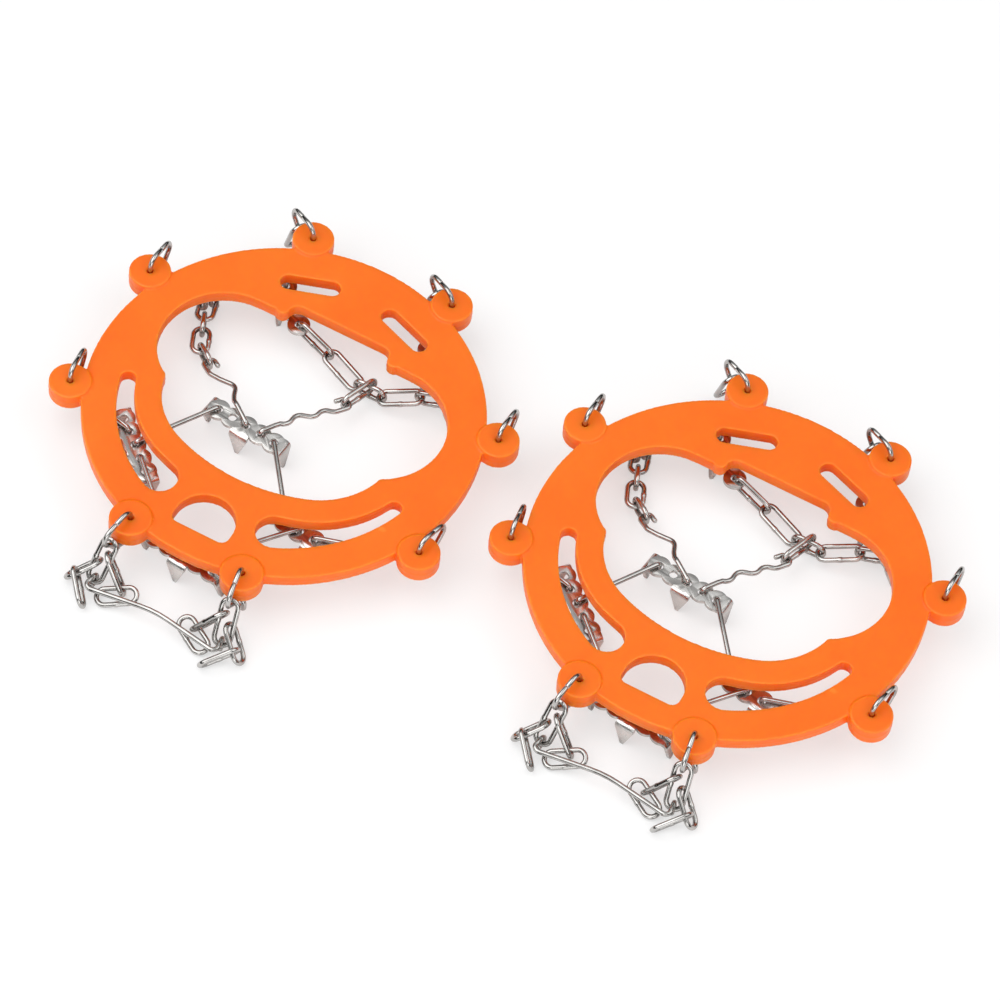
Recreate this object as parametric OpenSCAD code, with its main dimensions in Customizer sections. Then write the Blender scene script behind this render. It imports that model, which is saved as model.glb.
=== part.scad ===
/* [Pair] */
// free gap between the eyelet tabs of the two cleats
pair_gap = 8.5; // [1:0.5:60]
// how far the second cleat lies towards its heel
pair_stagger = 24; // [0:1:60]

/* [Harness] */
// outside diameter of the stretch harness
harness_d = 156; // [130:1:190]
// thickness of the flat web of the harness
web_t = 5; // [3:0.5:8]
// how far the rounded rims stand out above and below the web
lip = 0.3; // [0.2:0.1:1]
// diameter of the round eyelet tabs
tab_d = 16.5; // [14:0.5:22]
// thickness of the eyelet tabs
tab_t = 7.5; // [6:0.5:11]
// radial play of a ring in its eyelet
eyelet_play = 0.3; // [0.2:0.05:0.6]

/* [Wire and rings] */
// diameter of all the stainless wire
wire_d = 2; // [1.6:0.1:2.4]
// outward reach of a ring from its eyelet
ring_reach = 15; // [14:0.5:22]
// height of a ring's upper corner above the middle of its tab
ring_up = 4.5; // [4:0.5:14]
// depth of a ring's lower corner below the middle of its tab
ring_down = 4.5; // [4.5:0.5:9]
// bend radius of the ring corners, on the wire's middle
ring_r = 4; // [3.5:0.5:5]
// outside width of a chain link
link_w = 8.4; // [8:0.1:11]
// free gap between parts that hang in each other
play = 0.6; // [0.4:0.1:0.8]

/* [Spike plates] */
// sheet thickness of a spike plate
plate_t = 1.5; // [1:0.1:2]
// distance between the eyes of a plate
eye_pitch = 6.5; // [6:0.5:9]
// outside diameter of an eye
eye_d = 9; // [8:0.5:11]
// width of a tooth at its root
tooth_w = 8; // [5:0.5:9]
// height of the plates' middle above the ground
net_z = 11; // [9:0.5:18]

/* [Hidden] */
$fn = 64;
k = harness_d / 156;
bead = web_t + 2 * lip;
rim = bead / 2;
hook_h = plate_t + wire_d + 2 * play;
ring_hook = hook_h + 0.8;
ring_z = net_z - (ring_hook - hook_h) / 2;
tab_z = ring_z + ring_down + ring_r;
hook_r = hook_h / 2 - 0.6;
hook_tail = 3.4;
link_r = (link_w - wire_d) / 2;
hang = wire_d + 0.4;
slack = wire_d + 2;
lead = 4;
soft_r = 4;
eye_hole = wire_d + 2 * play + 0.2;
joint_gap = 0.1;
joint_over = 0.03;
// heights of the seats on the ground, of upright links and of hooks
low_z = link_r + wire_d / 2 + 0.4;
flat_z = hook_h / 2 + wire_d / 2 + 0.45;

// eyelets: angle from the toe, distance from the middle, way the ring points
TABS = [
    [-18, 78.5, -100], [18, 78.5, -80],
    [-67.5, 83, 99], [67.5, 83, 80],
    [-111, 83, 90], [111, 83, 90],
    [-158, 83, 150], [158, 83, 150]
];

// plates: middle, turn, then the teeth as [along, side], side 0 for an end tooth
PLATE_TOE = [[-2, -72], -6, [[1, 0], [-1, 0], [0, -1]]];
PLATE_FORE_LEFT = [[-44, -38], -41, [[1, 0], [-1, 0], [0, -1]]];
PLATE_FORE_RIGHT = [[30, -40], -8, [[1, 0], [-1, 0], [8, -1]]];
PLATE_CENTRE = [[-12, -8], -6, [[1, 0], [-1, 0], [0, -1]]];
PLATE_HEEL_LEFT = [[-28, 54], 135, [[1, 0], [-3, 1], [-3, -1]]];
PLATE_HEEL_RIGHT = [[40, 52], 137, [[-1, 0], [3, 1], [3, -1]]];

function unit(v) = v / norm(v);
function flat(v) = [v[0], v[1], 0];
function dir2(a) = [cos(a), sin(a), 0];
function left_of(v) = [-v[1], v[0], 0];

// where a tab stands, and the lowest point of its ring
function tab(i) = k * TABS[i][1] * [sin(TABS[i][0]), -cos(TABS[i][0]), 0];
function ring_seat(i, u) = tab(i) + u * dir2(TABS[i][2]) + [0, 0, ring_z];
// middle of an eye of a plate, counted in eyes from its middle
function eye(p, n) = k * [p[0][0], p[0][1], 0] + n * eye_pitch * dir2(p[1]) + [0, 0, net_z];
function spot(x, y, z) = [k * x, k * y, z];
// one crossing of two circles, the one on the right of the way from c to d
function cross_at(c, r, d, s) =
    let (w = norm(d - c), a = (r * r - s * s + w * w) / (2 * w), h = sqrt(r * r - a * a), u = (d - c) / w)
    c + a * u + h * [u[1], -u[0]];

// puts the children's z axis along u at p
module along(p, u) {
    a = abs(u[2]) > 0.9 ? [1, 0, 0] : [0, 0, 1];
    x = unit(cross(a, u));
    y = cross(u, x);
    multmatrix([
        [x[0], y[0], u[0], p[0]],
        [x[1], y[1], u[1], p[1]],
        [x[2], y[2], u[2], p[2]],
        [0, 0, 0, 1]
    ]) children();
}

// puts the children's x axis along x and their y axis along y at p
module on_axes(p, x, y) {
    z = cross(x, y);
    multmatrix([
        [x[0], y[0], z[0], p[0]],
        [x[1], y[1], z[1], p[1]],
        [x[2], y[2], z[2], p[2]],
        [0, 0, 0, 1]
    ]) children();
}

// straight wire from p to q, stopping short of a joint by a at its start and b at its end
module rod(p, q, d, a = joint_gap, b = joint_gap) {
    u = unit(q - p);
    along(p + a * u, u) cylinder(h = norm(q - p) - a - b, d = d);
}

// bend of the angle a, stopping short of its joints
module arc(r, a, d) {
    g = a >= 360 ? 0 : joint_gap / r * 180 / PI;
    rotate([0, 0, g]) rotate_extrude(angle = a - 2 * g) translate([r, 0]) circle(d = d);
}

// round joint between two pieces of wire, a hair thicker than they are
module joint(p, u, d) {
    along(p, u) sphere(d = d + 2 * joint_over);
}

// turn at a corner of a flat path, to the left above zero, and how far before it the bend starts
function corner(p, i) =
    let (u = unit(p[i] - p[i - 1]), v = unit(p[i + 1] - p[i]))
    atan2(u[0] * v[1] - u[1] * v[0], u * v);
function setback(p, i, r) = r[i] * tan(abs(corner(p, i)) / 2);

// wire in the xy plane along the points p, bent at each inner point with the radius in r
// a piece that another piece carries on from ends in a joint there
module flat_wire(p, r, d, goes_on = false, comes_on = false) {
    n = len(p);
    for (i = [0 : n - 2]) {
        u = unit(p[i + 1] - p[i]);
        from = i == 0 ? p[0] : p[i] + setback(p, i, r) * u;
        to = i == n - 2 ? p[n - 1] : p[i + 1] - setback(p, i + 1, r) * u;
        a = i > 0 || comes_on ? joint_gap : 0;
        b = i < n - 2 || goes_on ? joint_gap : 0;
        rod([from[0], from[1], 0], [to[0], to[1], 0], d, a, b);
        if (i > 0) joint([from[0], from[1], 0], [u[0], u[1], 0], d);
        if (i < n - 2 || goes_on) joint([to[0], to[1], 0], [u[0], u[1], 0], d);
    }
    for (i = [1 : n - 2]) {
        u = unit(p[i] - p[i - 1]);
        t = corner(p, i);
        side = sign(t);
        c = p[i] - setback(p, i, r) * u + side * r[i] * [-u[1], u[0]];
        start = atan2(u[1], u[0]) - 90 * side + min(t, 0);
        translate([c[0], c[1], 0]) rotate([0, 0, start]) arc(r[i], abs(t), d);
    }
}

// closed wire in the xy plane round the corner middles c, taken anticlockwise
module wire_loop(c, r, d) {
    n = len(c);
    for (i = [0 : n - 1]) {
        e = unit(c[(i + 1) % n] - c[i]);
        f = unit(c[(i + 2) % n] - c[(i + 1) % n]);
        o = r * [e[1], -e[0]];
        p = [c[i][0] + o[0], c[i][1] + o[1], 0];
        q = [c[(i + 1) % n][0] + o[0], c[(i + 1) % n][1] + o[1], 0];
        rod(p, q, d);
        joint(p, [e[0], e[1], 0], d);
        joint(q, [e[0], e[1], 0], d);
        a0 = atan2(-e[0], e[1]);
        turn = (atan2(-f[0], f[1]) - a0 + 720) % 360;
        translate([c[(i + 1) % n][0], c[(i + 1) % n][1], 0]) rotate([0, 0, a0]) arc(r, turn, d);
    }
}

// rims of the openings: a round bead whose middle runs one rim radius outside the edge
toe_mid = k * [0, 37.5];
toe_r = k * 75 + rim;
side_mid = toe_mid + k * 43 * [cos(-68), sin(-68)];
side_r = k * 32 + rim;
lobe_mid = k * [34, 13.5];
lobe_r = k * 26.5 + rim;
cusp = cross_at(side_mid, side_r, lobe_mid, lobe_r);
heel_x = k * 18;
heel_y = k * 46 + rim;
notch_r = k * 4 + rim;
shoulder = lobe_mid[1] + lobe_r;
dee_mid = k * [0, -61];
dee_r = k * 12 + rim;
dee_corner = k * 3 + rim;
dee_low = k * -66.5 - rim;
slot_out = k * 64.5 + rim;
slot_in = k * 42.5 - rim;
slot_toe = k * 85.5 - rim;
slot_end = k * 3 + rim;
slot_wide = k * 7.1 + rim;
heel_slot = k * [21, 57];
heel_slot_turn = -20;
heel_slot_half = k * 8.5;
heel_slot_r = k * 3.4 + rim;

function turn_to(c, p) = atan2(p[1] - c[1], p[0] - c[0]);
function on_circle(c, r, a) = c + r * [cos(a), sin(a)];
function on_arc(c, r, a0, a1, n) = [for (i = [0 : n]) on_circle(c, r, a0 + (a1 - a0) * i / n)];
function mirrored(p) = [for (i = [len(p) - 1 : -1 : 0]) [-p[i][0], p[i][1]]];

// middles of the two round ends of a fore slot, and where they meet the long arcs
slot_a = cross_at([0, 0], slot_out - slot_end, side_mid, slot_in + slot_end);
slot_b = cross_at([0, 0], slot_out - slot_wide, toe_mid, slot_toe + slot_wide);
a_out = turn_to([0, 0], slot_a);
a_in = turn_to(slot_a, side_mid);
b_out = turn_to([0, 0], slot_b);
b_in = turn_to(slot_b, toe_mid) - 360;

module bead_arc(c, r, a0, a1) {
    translate([c[0], c[1], 0]) rotate([0, 0, a0]) arc(r, a1 - a0, bead);
}

module bead_rod(p, q) {
    rod([p[0], p[1], 0], [q[0], q[1], 0], bead);
}

// joint between two pieces of rim whose way there is at the angle a
module bead_joint(p, a) {
    joint([p[0], p[1], 0], dir2(a), bead + 0.06);
}

// softened point where two pieces of rim meet at a corner
module knob(p) {
    translate([p[0], p[1], 0]) sphere(r = rim + 0.15);
}

module opening_rim() {
    bead_arc(toe_mid, toe_r, -112, -68);
    for (s = [0, 1]) mirror([s, 0, 0]) {
        bead_joint(on_circle(toe_mid, toe_r, -68), 22);
        bead_arc(side_mid, side_r, -68, turn_to(side_mid, cusp));
        bead_arc(lobe_mid, lobe_r, turn_to(lobe_mid, cusp), 90);
        knob(cusp);
        bead_joint([lobe_mid[0], shoulder], 180);
        bead_rod([lobe_mid[0], shoulder], [heel_x + notch_r, shoulder]);
        knob([heel_x + notch_r, shoulder]);
        bead_rod([heel_x + notch_r, shoulder], [heel_x + notch_r, heel_y - notch_r]);
        bead_joint([heel_x + notch_r, heel_y - notch_r], 90);
        bead_arc([heel_x, heel_y - notch_r], notch_r, 0, 90);
        bead_joint([heel_x, heel_y], 180);
    }
    bead_rod([heel_x, heel_y], [-heel_x, heel_y]);
}

module slot_rim() {
    bead_arc([0, 0], slot_out, b_out, a_out);
    bead_arc(slot_a, slot_end, a_out, a_in);
    bead_arc(side_mid, slot_in, -68, a_in - 180);
    bead_arc(toe_mid, slot_toe, b_in + 180, -68);
    bead_arc(slot_b, slot_wide, b_in, b_out);
    bead_joint(on_circle([0, 0], slot_out, a_out), a_out + 90);
    bead_joint(on_circle(slot_a, slot_end, a_in), a_in + 90);
    bead_joint(on_circle(toe_mid, slot_toe, -68), 22);
    bead_joint(on_circle(slot_b, slot_wide, b_in), b_in + 90);
    bead_joint(on_circle([0, 0], slot_out, b_out), b_out + 90);
}

module dee_rim() {
    bead_arc(dee_mid, dee_r, 0, 180);
    for (s = [0, 1]) mirror([s, 0, 0]) {
        bead_joint(dee_mid + [dee_r, 0], 90);
        bead_rod(dee_mid + [dee_r, 0], [dee_r, dee_low + dee_corner]);
        bead_joint([dee_r, dee_low + dee_corner], 90);
        bead_arc([dee_r - dee_corner, dee_low + dee_corner], dee_corner, -90, 0);
        bead_joint([dee_r - dee_corner, dee_low], 0);
    }
    bead_rod([dee_corner - dee_r, dee_low], [dee_r - dee_corner, dee_low]);
}

module heel_slot_rim() {
    translate([heel_slot[0], heel_slot[1], 0]) rotate([0, 0, heel_slot_turn])
        wire_loop([[-heel_slot_half, 0], [heel_slot_half, 0]], heel_slot_r, bead);
}

// what is cut out of the flat web, along the middles of the rims
opening_half = concat(
    on_arc(toe_mid, toe_r, -90, -68, 5),
    on_arc(side_mid, side_r, -68, turn_to(side_mid, cusp), 8),
    on_arc(lobe_mid, lobe_r, turn_to(lobe_mid, cusp), 90, 14),
    [[heel_x + notch_r, shoulder]],
    on_arc([heel_x, heel_y - notch_r], notch_r, 0, 90, 4)
);
slot_shape = concat(
    on_arc([0, 0], slot_out, b_out, a_out, 12),
    on_arc(slot_a, slot_end, a_out, a_in, 6),
    on_arc(side_mid, slot_in, a_in - 180, -68, 8),
    on_arc(toe_mid, slot_toe, -68, b_in + 180, 3),
    on_arc(slot_b, slot_wide, b_in, b_out, 10)
);
dee_half = concat(
    [[0, dee_low]],
    on_arc([dee_r - dee_corner, dee_low + dee_corner], dee_corner, -90, 0, 4),
    on_arc(dee_mid, dee_r, 0, 90, 8)
);

module cut(p) {
    translate([0, 0, -web_t]) linear_extrude(2 * web_t) polygon(p);
}

module web() {
    difference() {
        translate([0, 0, -web_t / 2]) cylinder(h = web_t, r = harness_d / 2 - rim, $fn = 128);
        cut(concat(opening_half, mirrored(opening_half)));
        cut(concat(dee_half, mirrored(dee_half)));
        for (s = [0, 1]) mirror([s, 0, 0]) {
            cut(slot_shape);
            translate([heel_slot[0], heel_slot[1], -web_t]) rotate([0, 0, heel_slot_turn])
                for (e = [-1, 0, 1])
                    if (e == 0) translate([-heel_slot_half, -heel_slot_r, 0])
                        cube([2 * heel_slot_half, 2 * heel_slot_r, 2 * web_t]);
                    else translate([e * heel_slot_half, 0, 0]) cylinder(h = 2 * web_t, r = heel_slot_r);
        }
    }
}

// round tab with softened edges
module tab_boss() {
    r = tab_d / 2;
    h = tab_t / 2;
    rotate_extrude() polygon([
        [0, -h], [r - 2, -h], [r - 0.8, -h + 0.5], [r - 0.2, -h + 1.4],
        [r, -h + 2.4], [r, h - 2.4],
        [r - 0.2, h - 1.4], [r - 0.8, h - 0.5], [r - 2, h], [0, h]
    ]);
}

module harness() {
    color([1, 0.47, 0.12]) translate([0, 0, tab_z]) difference() {
        union() {
            web();
            arc(harness_d / 2 - rim, 360, bead);
            opening_rim();
            dee_rim();
            for (s = [0, 1]) mirror([s, 0, 0]) {
                slot_rim();
                heel_slot_rim();
            }
            for (i = [0 : 7]) translate(tab(i)) tab_boss();
        }
        for (i = [0 : 7]) translate(tab(i) - [0, 0, tab_t])
            cylinder(h = 2 * tab_t, d = wire_d + 2 * eyelet_play);
    }
}

// ring i: three corners in an upright plane, its long leg standing in the eyelet
ring_mid = 3;
ring_c = [[ring_r, -ring_down], [ring_reach - ring_r, ring_mid], [ring_r, ring_up]];
leg_way = unit(ring_c[1] - ring_c[0]);
// a point of the lower leg, t from 0 at the eyelet end to 1 at the outer end
function leg_at(t) = ring_c[0] + ring_r * [leg_way[1], -leg_way[0]] + t * (ring_c[1] - ring_c[0]);
function leg_dir(i) = leg_way[0] * dir2(TABS[i][2]) + [0, 0, leg_way[1]];
function leg_point(i, t) = tab(i) + leg_at(t)[0] * dir2(TABS[i][2]) + [0, 0, tab_z + leg_at(t)[1]];

module ring(i) {
    up_way = unit(ring_c[2] - ring_c[1]);
    seam = (ring_c[1] + ring_c[2]) / 2 + ring_r * [up_way[1], -up_way[0]];
    color([0.78, 0.78, 0.77])
    translate(tab(i) + [0, 0, tab_z]) rotate([0, 0, TABS[i][2]]) rotate([90, 0, 0]) difference() {
        wire_loop(ring_c, ring_r, wire_d);
        translate([seam[0], seam[1], 0]) rotate([0, 0, atan2(up_way[1], up_way[0])])
            cube([0.25, 2 * wire_d, 2 * wire_d], center = true);
    }
}

// tooth: the sheet bends down through a quarter turn and narrows to its tip
module tooth() {
    bend_r = 0.8;
    drop = net_z - plate_t / 2 - bend_r;
    translate([0, tooth_w / 2, -plate_t / 2 - bend_r]) rotate([90, 0, 0])
        rotate_extrude_quarter(bend_r);
    translate([bend_r, 0, -plate_t / 2 - bend_r]) rotate([90, 0, 90]) linear_extrude(plate_t)
        polygon([[-tooth_w / 2, 0], [-0.7, -drop], [0.7, -drop], [tooth_w / 2, 0]]);
}

module rotate_extrude_quarter(b) {
    intersection() {
        difference() {
            cylinder(h = tooth_w, r = b + plate_t);
            translate([0, 0, -1]) cylinder(h = tooth_w + 2, r = b);
        }
        cube([2 * (b + plate_t), 2 * (b + plate_t), tooth_w]);
    }
}

// spike plate: a bar of eyes with a scalloped edge and three bent teeth
module plate(p) {
    end = 2 * eye_pitch + 3.2;
    side = eye_d / 2 - 0.8;
    color([0.74, 0.74, 0.73])
    translate(eye(p, 0)) rotate([0, 0, p[1]]) difference() {
        union() {
            translate([-2 * eye_pitch, -3, -plate_t / 2]) cube([4 * eye_pitch, 6, plate_t]);
            for (n = [-2 : 2]) translate([n * eye_pitch, 0, -plate_t / 2]) cylinder(h = plate_t, d = eye_d);
            for (q = p[2]) {
                if (q[1] == 0) mirror([q[0] < 0 ? 1 : 0, 0, 0]) {
                    translate([2 * eye_pitch, -tooth_w / 2, -plate_t / 2])
                        cube([end - 2 * eye_pitch, tooth_w, plate_t]);
                    translate([end, 0, 0]) tooth();
                } else translate([q[0], 0, 0]) rotate([0, 0, 90 * q[1]]) {
                    translate([0, -tooth_w / 2, -plate_t / 2]) cube([side, tooth_w, plate_t]);
                    translate([side, 0, 0]) tooth();
                }
            }
        }
        for (n = [-2 : 2]) translate([n * eye_pitch, 0, -plate_t]) cylinder(h = 2 * plate_t, d = eye_hole);
    }
}

// the bends of an upright hook in the xy plane: x runs along the wire, the seat's middle is at y
function hook_in(y) = [[hook_tail, y - hook_h / 2], [0, y - hook_h / 2], [0, y + hook_h / 2]];

// wire with an upright hook at each end round the seats p and q
// o is how far each hook runs past its seat, h the second hook's height,
// and l how far the wire stays level beside each hook
module hooked_wire(p, q, o, h = hook_h, l = [0, 0]) {
    u = unit(flat(q - p));
    far = norm(flat(q - p)) + o[0] + o[1];
    top = q[2] - p[2] + h / 2;
    slope = abs(top - hook_h / 2) < 0.01 ? [] : [[l[0], hook_h / 2], [far - l[1], top]];
    color([0.78, 0.78, 0.77]) on_axes(p - o[0] * u, u, [0, 0, 1]) flat_wire(
        concat(hook_in(0), slope, [[far, top], [far, top - h], [far - hook_tail, top - h]]),
        concat([0, hook_r, hook_r], [for (b = slope) soft_r], [hook_r, hook_r, 0]),
        wire_d
    );
}

// wavy wire: an upright hook in a plate's eye, level for l, then down in a slanting plane
// its bends are [along, aside] points counted from there, and a hook round a link's end is the last of it
module wavy_wire(p, q, l, bends, side) {
    u = unit(flat(q - p));
    start = p + [0, 0, hook_h / 2] + l * u;
    g = unit(q - start);
    far = norm(q - start);
    first = 2.4;
    w = side * hook_h / 2;
    color([0.78, 0.78, 0.77]) {
        on_axes(p, u, [0, 0, 1]) flat_wire(
            concat(hook_in(0), [[l, hook_h / 2], [l + first * norm(flat(g)), hook_h / 2 + first * g[2]]]),
            [0, hook_r, hook_r, soft_r, 0],
            wire_d,
            goes_on = true
        );
        on_axes(start, g, left_of(u)) flat_wire(
            concat(
                [[first, 0]],
                bends,
                [[far - 5, w], [far + hang, w], [far + hang, -w], [far + hang - 5, -w]]
            ),
            concat([0], [for (b = bends) soft_r], [soft_r, hook_r, hook_r, 0]),
            wire_d,
            comes_on = true
        );
    }
}

// chain link whose wire's middle runs oa past a and ob past b; turn 0 stands upright, 90 lies flat
module link(a, b, oa, ob, turn) {
    u = unit(b - a);
    s = unit(cross([0, 0, 1], u));
    w = cross(u, s);
    half = (norm(b - a) + oa + ob) / 2 - link_r;
    on_axes((a - oa * u + b + ob * u) / 2, u, cos(turn) * w + sin(turn) * s)
        wire_loop([[-half, 0], [half, 0]], link_r, wire_d);
}

// slack link that hangs round a straight leg at a, its own wire past it, and ends at b
module link_round(a, leg, b, past = hang) {
    u = unit(b - a);
    back = past / norm(cross(u, leg));
    half = (norm(b - a) + back) / 2 - link_r;
    on_axes((a - back * u + b) / 2, u, unit(cross(leg, u)))
        wire_loop([[-half, 0], [half, 0]], link_r, wire_d);
}

// seats of the slack links on the ground: an upright link ends at its seat, a flat one runs past it
left_hook = spot(-40, 13, low_z + 2.4);
left_a = spot(-48.5, 19.5, low_z);
left_b = spot(-51.3, 25.8, low_z);
left_c = spot(-54.9, 34.2, low_z);
left_end = spot(-58, 44, flat_z);
left_way = unit(flat(left_end - left_c));
left_leg = (left_c + left_end) / 2 + link_r * left_of(left_way);
left_bend = left_end - link_r * left_way;
left_pull = left_bend + link_r * unit(flat(eye(PLATE_HEEL_LEFT, 1) - left_bend));
right_hook = spot(14, 22, low_z + 4.4);
heel_node = spot(-2, 41.5, low_z + 1.4);
join_a = spot(12, 36, low_z);
join_b = spot(25, 36, low_z);
join_top = spot(18.5, 36, low_z) + [0, 0, link_r];
side_node = spot(36.5, 41, low_z + 3);
// a link that leaves an eye on a slope sits a little high in it
eye_lift = [0, 0, 0.4];
bar_out = ring_reach + 6.5;
function bar_end(i) = tab(i) + bar_out * dir2(TABS[i][2]) + [0, 0, flat_z];
// at toe tab i: towards the middle of the toe, and the way of the link that hangs in its ring
function toe_in(i) = (1 - 2 * i) * left_of(dir2(TABS[i][2]));
function toe_way(i) = unit(bar_end(i) - leg_point(i, 0.7));
// a point of that link's leg, so far before its end, on the side v
function toe_leg(i, back, v) = bar_end(i) - back * toe_way(i) + v * link_r * toe_in(i);
function toe_spot(i, out, v) = tab(i) + out * dir2(TABS[i][2]) + v * toe_in(i) + [0, 0, wire_d + 0.2];

// end of the slack link that hangs in a heel ring
function heel_drop(i) = tab(i) + ring_reach * dir2(TABS[i][2]) + [0, 0, wire_d];

module chain_links() {
    color([0.8, 0.8, 0.79]) {
        link(left_hook, left_a, 0, 0, 0);
        link(left_a, left_b, hang, hang, 90);
        link(left_b, left_c, 0, 0, 0);
        link(left_c, left_end, hang, 0, 90);
        link(eye(PLATE_HEEL_LEFT, -2) + eye_lift, heel_node, 0, 0, 0);
        link(heel_node, join_a, hang, hang, 90);
        link(join_a, join_b, 0, 0, 0);
        link(right_hook, join_top, 0, hang, 0);
        link(join_b, side_node, hang, hang, 90);
        link(side_node, eye(PLATE_HEEL_RIGHT, -2) + eye_lift, 0, 0, 0);
        link(ring_seat(6, ring_r), eye(PLATE_HEEL_LEFT, 2), slack, 0, 0);
        link(ring_seat(7, ring_r), eye(PLATE_HEEL_RIGHT, 2), slack, 0, 0);
        for (i = [0, 1]) {
            link(leg_point(i, 0.7), bar_end(i), hang, 0, 90);
            link_round(toe_leg(i, 5.5, -1), toe_way(i), toe_spot(i, bar_out + 4, -9.5));
            link_round(toe_leg(i, 11, 1), toe_way(i), toe_spot(i, bar_out - 4, 12));
        }
        for (i = [6, 7]) link_round(leg_point(i, 0.55), leg_dir(i), heel_drop(i), hang + 0.4);
    }
}

// bowed bar across the toe, hooked over the two toe links
bar_front = 5.5;
bar_bend = 2.2;

module toe_bar() {
    h = [0, 0, hook_h / 2];
    e0 = dir2(TABS[0][2]);
    e1 = dir2(TABS[1][2]);
    color([0.78, 0.78, 0.77]) {
        for (i = [0, 1]) on_axes(bar_end(i) - hang * dir2(TABS[i][2]), dir2(TABS[i][2]), [0, 0, 1])
            flat_wire(concat(hook_in(0), [[4, hook_h / 2]]), [0, hook_r, hook_r, 0], wire_d, goes_on = true);
        translate([0, 0, flat_z + hook_h / 2]) flat_wire(
            [
                for (p = [
                    bar_end(0) + (4 - hang) * e0, bar_end(0) + bar_front * e0,
                    (bar_end(0) + bar_end(1)) / 2 - [0, 1, 0],
                    bar_end(1) + bar_front * e1, bar_end(1) + (4 - hang) * e1
                ]) [p[0], p[1]]
            ],
            [0, bar_bend, 40, bar_bend, 0],
            wire_d,
            comes_on = true
        );
    }
}

module wire_toe_left() {
    hooked_wire(eye(PLATE_TOE, -2), ring_seat(0, ring_r), [0, slack + 0.5], ring_hook);
}
module wire_toe_right() {
    hooked_wire(eye(PLATE_TOE, 2), ring_seat(1, ring_r), [0, slack], ring_hook);
}
module wire_fore_left() {
    hooked_wire(eye(PLATE_FORE_LEFT, 1), eye(PLATE_TOE, -1), [0, 0]);
}
module wire_fore_right() {
    hooked_wire(eye(PLATE_FORE_RIGHT, 0), eye(PLATE_TOE, 1), [0, 0]);
}
module wire_mid_left() {
    hooked_wire(eye(PLATE_CENTRE, -2), eye(PLATE_FORE_LEFT, 0), [0, 0]);
}
module wire_mid_right() {
    hooked_wire(eye(PLATE_CENTRE, 2), eye(PLATE_FORE_RIGHT, -1), [0, 0]);
}
module wire_side_left() {
    hooked_wire(eye(PLATE_FORE_LEFT, -1), ring_seat(2, ring_r), [0, slack], ring_hook);
}
module wire_side_right() {
    hooked_wire(eye(PLATE_FORE_RIGHT, 1), ring_seat(3, ring_r), [0, slack], ring_hook);
}
module wire_arch_left() {
    level = [lead + hang, lead + slack];
    hooked_wire(left_leg, ring_seat(4, ring_r), [hang, slack], ring_hook, level);
}
module wire_arch_right() {
    hooked_wire(eye(PLATE_HEEL_RIGHT, -1), ring_seat(5, ring_r), [0, slack], ring_hook);
}
module wire_heel_left() {
    level = [lead + hang, 2 * lead];
    hooked_wire(left_pull, eye(PLATE_HEEL_LEFT, 1), [hang, 0], hook_h, level);
}
module wavy_left() {
    wavy_wire(eye(PLATE_CENTRE, 0), left_hook, 9.5, [[5, -1], [10, -4], [16.5, 0]], 1);
}
module wavy_right() {
    wavy_wire(eye(PLATE_CENTRE, 1), right_hook, 6.5, [[5, -1.5], [10.5, 2], [16.5, -2], [21.5, 0.5]], -1);
}

// the origin is under the middle of the pair, counted from the toe bars to the heel rings
front_y = bar_end(0)[1] - bar_front * sin(80) + bar_bend * (tan(55) * sin(80) - cos(80) - 1) - wire_d / 2;
back_y = max([for (i = [6, 7]) tab(i)[1] + ring_reach * sin(TABS[i][2])]) + wire_d / 2;
mid_y = (front_y + back_y) / 2;
pair_spacing = 2 * tab(5)[0] + tab_d + pair_gap;

module at_left() {
    translate([-pair_spacing / 2, -pair_stagger / 2 - mid_y, 0]) children();
}

module at_right() {
    translate([pair_spacing / 2, pair_stagger / 2 - mid_y, 0]) children();
}

at_left() harness();  // left_harness
at_left() ring(0);  // left_ring_toe_left
at_left() ring(1);  // left_ring_toe_right
at_left() ring(2);  // left_ring_fore_left
at_left() ring(3);  // left_ring_fore_right
at_left() ring(4);  // left_ring_arch_left
at_left() ring(5);  // left_ring_arch_right
at_left() ring(6);  // left_ring_heel_left
at_left() ring(7);  // left_ring_heel_right
at_left() plate(PLATE_TOE);  // left_plate_toe
at_left() plate(PLATE_FORE_LEFT);  // left_plate_fore_left
at_left() plate(PLATE_FORE_RIGHT);  // left_plate_fore_right
at_left() plate(PLATE_CENTRE);  // left_plate_centre
at_left() plate(PLATE_HEEL_LEFT);  // left_plate_heel_left
at_left() plate(PLATE_HEEL_RIGHT);  // left_plate_heel_right
at_left() wire_toe_left();  // left_wire_toe_left
at_left() wire_toe_right();  // left_wire_toe_right
at_left() wire_fore_left();  // left_wire_fore_left
at_left() wire_fore_right();  // left_wire_fore_right
at_left() wire_mid_left();  // left_wire_mid_left
at_left() wire_mid_right();  // left_wire_mid_right
at_left() wire_side_left();  // left_wire_side_left
at_left() wire_side_right();  // left_wire_side_right
at_left() wire_arch_left();  // left_wire_arch_left
at_left() wire_arch_right();  // left_wire_arch_right
at_left() wire_heel_left();  // left_wire_heel_left
at_left() wavy_left();  // left_wavy_left
at_left() wavy_right();  // left_wavy_right
at_left() toe_bar();  // left_toe_bar
at_left() chain_links();  // left_chain_links
at_right() harness();  // right_harness
at_right() ring(0);  // right_ring_toe_left
at_right() ring(1);  // right_ring_toe_right
at_right() ring(2);  // right_ring_fore_left
at_right() ring(3);  // right_ring_fore_right
at_right() ring(4);  // right_ring_arch_left
at_right() ring(5);  // right_ring_arch_right
at_right() ring(6);  // right_ring_heel_left
at_right() ring(7);  // right_ring_heel_right
at_right() plate(PLATE_TOE);  // right_plate_toe
at_right() plate(PLATE_FORE_LEFT);  // right_plate_fore_left
at_right() plate(PLATE_FORE_RIGHT);  // right_plate_fore_right
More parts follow.
